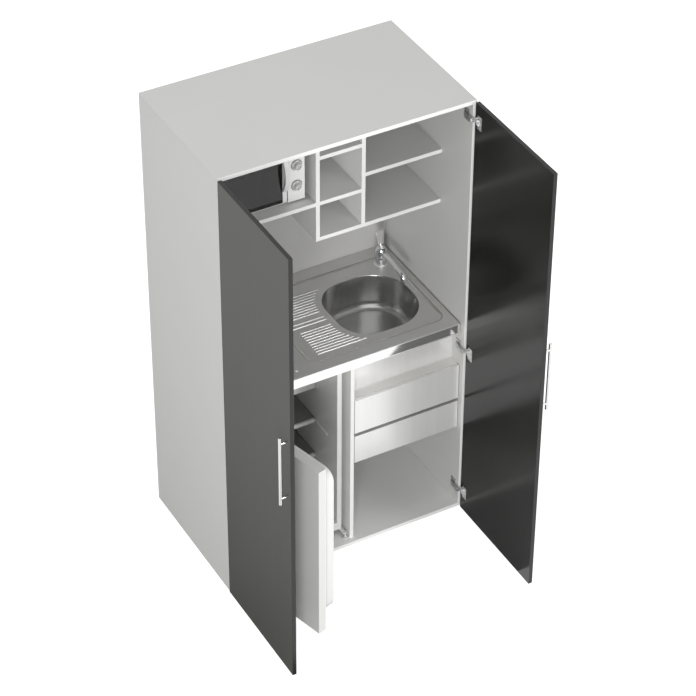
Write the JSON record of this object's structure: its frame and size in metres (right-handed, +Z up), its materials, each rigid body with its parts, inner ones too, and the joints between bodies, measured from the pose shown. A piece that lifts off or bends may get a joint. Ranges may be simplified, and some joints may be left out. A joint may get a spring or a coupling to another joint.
{
  "type": "kitchenette cabinet",
  "caption": "Tall two-door kitchenette cabinet with a stainless sink and drainer worktop, hob, fridge with freezer box, drawers, open shelves and a microwave.",
  "frame": {"origin": "centre of the carcass footprint on the floor", "axes": "+X to the right seen from the front, +Y to the wall behind, +Z up"},
  "size_m": [1.12, 1.1465, 1.92],
  "materials": {
    "carcass_board": "pale grey melamine-faced board, satin",
    "back_board": "white faced back board",
    "white_board": "white melamine-faced board, satin",
    "door_board": "anthracite faced board, satin outside, glossy inside",
    "core_board": "raw chipboard",
    "stainless": "brushed stainless sheet",
    "polished_steel": "bright plated",
    "hinge_steel": "plated pressed steel",
    "hotplate_iron": "matt black cast iron",
    "black_plastic": "black moulded plastic",
    "white_plastic": "white moulded plastic",
    "clear_plastic": "translucent moulded plastic",
    "fridge_skin": "white enamelled skin over foam",
    "grey_plastic": "grey moulded plastic",
    "freezer_alu": "anodised aluminium",
    "zinc_steel": "pale coated steel",
    "shelf_glass": "clear glass",
    "dark_glass": "black glass"
  },
  "bodies": {
    "carcass": {"top_panel": "carcass_board", "left_side_panel": "carcass_board", "right_side_panel": "carcass_board", "floor_panel": "carcass_board", "back_panel": "back_board", "centre_divider": "white_board", "service_board": "white_board", "sink_front_panel": "white_board", "shelf_divider_left": "white_board", "shelf_divider_right": "white_board", "bottom_shelf": "white_board", "microwave_shelf": "white_board", "small_shelves": "white_board", "worktop": "stainless", "worktop_core": "core_board", "sink_bowl": "stainless", "waste_trap": "white_plastic", "hotplates": "hotplate_iron", "hotplate_rims": "stainless", "hob_switches": "black_plastic", "hob_lamp": "white_plastic", "tap_base_plate": "polished_steel", "tap_body": "polished_steel", "hinge_arms": "hinge_steel", "drawer_runners": "zinc_steel", "fridge_cabinet": "fridge_skin", "fridge_shelves": "shelf_glass", "fridge_shelf_trims": "white_plastic", "freezer_box": "freezer_alu", "fridge_hinges": "zinc_steel", "microwave_case": "zinc_steel", "microwave_cavity": "zinc_steel"},
    "left_door": {"left_door": "door_board", "left_door_handle": "polished_steel", "left_hinge_cups": "hinge_steel"},
    "right_door": {"right_door": "door_board", "right_door_handle": "polished_steel", "right_hinge_cups": "hinge_steel"},
    "upper_drawer": {"upper_drawer_front": "white_board", "upper_drawer_box": "white_board"},
    "lower_drawer": {"lower_drawer_front": "white_board", "lower_drawer_box": "white_board"},
    "fridge_door": {"fridge_door_panel": "fridge_skin", "fridge_door_liner": "white_plastic", "fridge_door_bins": "clear_plastic"},
    "freezer_flap": {"freezer_flap": "white_plastic"},
    "crisper_drawer": {"crisper_drawer": "clear_plastic"},
    "thermostat_knob": {"thermostat_knob": "white_plastic"},
    "microwave_door": {"microwave_door": "white_plastic", "microwave_door_glass": "dark_glass", "microwave_handle": "white_plastic"},
    "power_knob": {"power_knob": "grey_plastic"},
    "timer_knob": {"timer_knob": "grey_plastic"},
    "turntable": {"turntable": "shelf_glass"},
    "front_plate_knob": {"front_plate_knob": "black_plastic"},
    "rear_plate_knob": {"rear_plate_knob": "black_plastic"},
    "tap_spout": {"tap_spout": "polished_steel"},
    "tap_turret": {"tap_turret": "polished_steel"},
    "tap_lever": {"tap_lever": "polished_steel"},
    "sink_strainer": {"sink_strainer": "stainless"}
  },
  "joints": [
    {"name": "left_door_hinge", "type": "hinge", "parent": "carcass", "child": "left_door", "pos_m": [-0.517, -0.321, 0.96], "axis": [0, 0, -1], "range_deg": [-90, 15]},
    {"name": "right_door_hinge", "type": "hinge", "parent": "carcass", "child": "right_door", "pos_m": [0.517, -0.321, 0.96], "axis": [0, 0, 1], "range_deg": [-90, 15]},
    {"name": "fridge_door_hinge", "type": "hinge", "parent": "carcass", "child": "fridge_door", "pos_m": [-0.465, -0.2735, 0.45], "axis": [0, 0, -1], "range_deg": [-75, 14]},
    {"name": "upper_drawer_slide", "type": "slide", "parent": "carcass", "child": "upper_drawer", "axis": [0, -1, 0], "range_m": [0, 0.35]},
    {"name": "lower_drawer_slide", "type": "slide", "parent": "carcass", "child": "lower_drawer", "axis": [0, -1, 0], "range_m": [0, 0.35]},
    {"name": "freezer_flap_hinge", "type": "hinge", "parent": "carcass", "child": "freezer_flap", "pos_m": [-0.236, -0.0774, 0.649], "axis": [1, 0, 0], "range_deg": [0, 90]},
    {"name": "crisper_drawer_slide", "type": "slide", "parent": "carcass", "child": "crisper_drawer", "axis": [0, -1, 0], "range_m": [0, 0.14]},
    {"name": "thermostat_knob_turn", "type": "hinge", "parent": "carcass", "child": "thermostat_knob", "pos_m": [-0.446, 0.02, 0.59], "axis": [1, 0, 0], "range_deg": [0, 270]},
    {"name": "microwave_door_hinge", "type": "hinge", "parent": "carcass", "child": "microwave_door", "pos_m": [-0.482, -0.053, 1.665], "axis": [0, 0, -1], "range_deg": [0, 85]},
    {"name": "power_knob_turn", "type": "hinge", "parent": "carcass", "child": "power_knob", "pos_m": [-0.082, -0.065, 1.69], "axis": [0, 1, 0], "range_deg": [0, 240]},
    {"name": "timer_knob_turn", "type": "hinge", "parent": "carcass", "child": "timer_knob", "pos_m": [-0.082, -0.065, 1.602], "axis": [0, 1, 0], "range_deg": [0, 330]},
    {"name": "turntable_turn", "type": "hinge", "parent": "carcass", "child": "turntable", "pos_m": [-0.3055, 0.104, 1.57], "axis": [0, 0, 1], "continuous": true},
    {"name": "front_plate_knob_turn", "type": "hinge", "parent": "carcass", "child": "front_plate_knob", "pos_m": [-0.38, -0.24, 0.9035], "axis": [0, 0, -1], "range_deg": [0, 300]},
    {"name": "rear_plate_knob_turn", "type": "hinge", "parent": "carcass", "child": "rear_plate_knob", "pos_m": [-0.27, -0.24, 0.9035], "axis": [0, 0, -1], "range_deg": [0, 300]},
    {"name": "tap_spout_swivel", "type": "hinge", "parent": "carcass", "child": "tap_spout", "pos_m": [0.43, 0.202, 0.9445], "axis": [0, 0, 1], "range_deg": [-100, 15]},
    {"name": "tap_turret_turn", "type": "hinge", "parent": "carcass", "child": "tap_turret", "pos_m": [0.43, 0.202, 0.9541], "axis": [0, 0, 1], "range_deg": [-45, 45]},
    {"name": "tap_lever_tip", "type": "hinge", "parent": "tap_turret", "child": "tap_lever", "pos_m": [0.43, 0.202, 0.9691], "axis": [1, 0, 0], "range_deg": [0, 30]},
    {"name": "strainer_lift", "type": "slide", "parent": "carcass", "child": "sink_strainer", "axis": [0, 0, 1], "range_m": [0, 0.01]}
  ],
  "couplings": [
    {"joint": "fridge_door_hinge", "follows": "left_door_hinge", "ratio": 0.8333}
  ]
}
